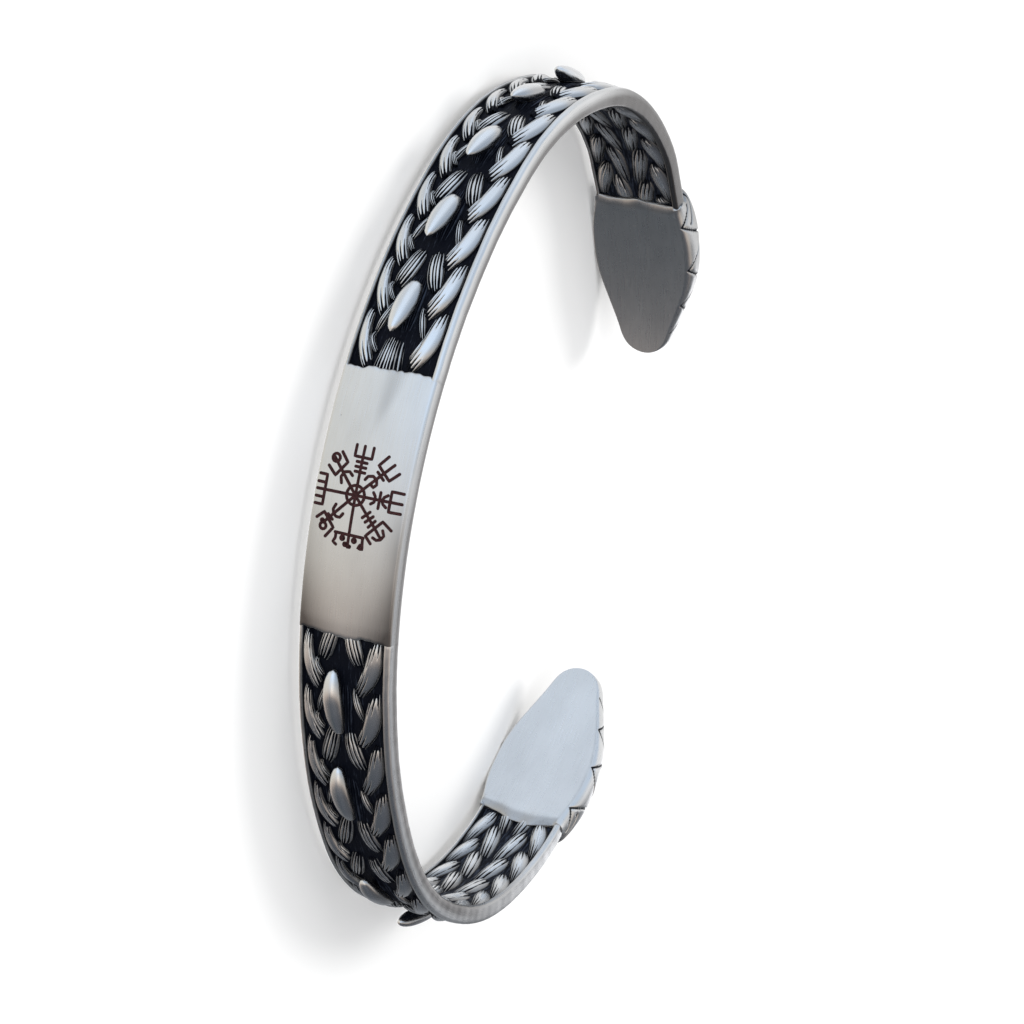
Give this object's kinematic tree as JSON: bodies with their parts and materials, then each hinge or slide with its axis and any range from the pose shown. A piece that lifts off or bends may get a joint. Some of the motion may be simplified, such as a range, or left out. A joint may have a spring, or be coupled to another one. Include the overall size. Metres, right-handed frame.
{
  "type": "viking arm ring",
  "caption": "Open oval cuff bracelet: cast band with braided relief and teardrop beads, plain engraved plaque, snake-head ends.",
  "frame": {"origin": "centre of the oval that the ring follows, on the plane that the two heads rest on", "axes": "+Z along the ring axis, up as the ring lies on its side; +X across the wrist; -Y towards the plaque, +Y towards the opening between the heads"},
  "size_m": [0.0698, 0.0529, 0.0092],
  "materials": {
    "steel": "satin steel, polished on the relief, blackened in the recesses"
  },
  "bodies": {
    "root": {"cuff": "steel"}
  },
  "joints": []
}
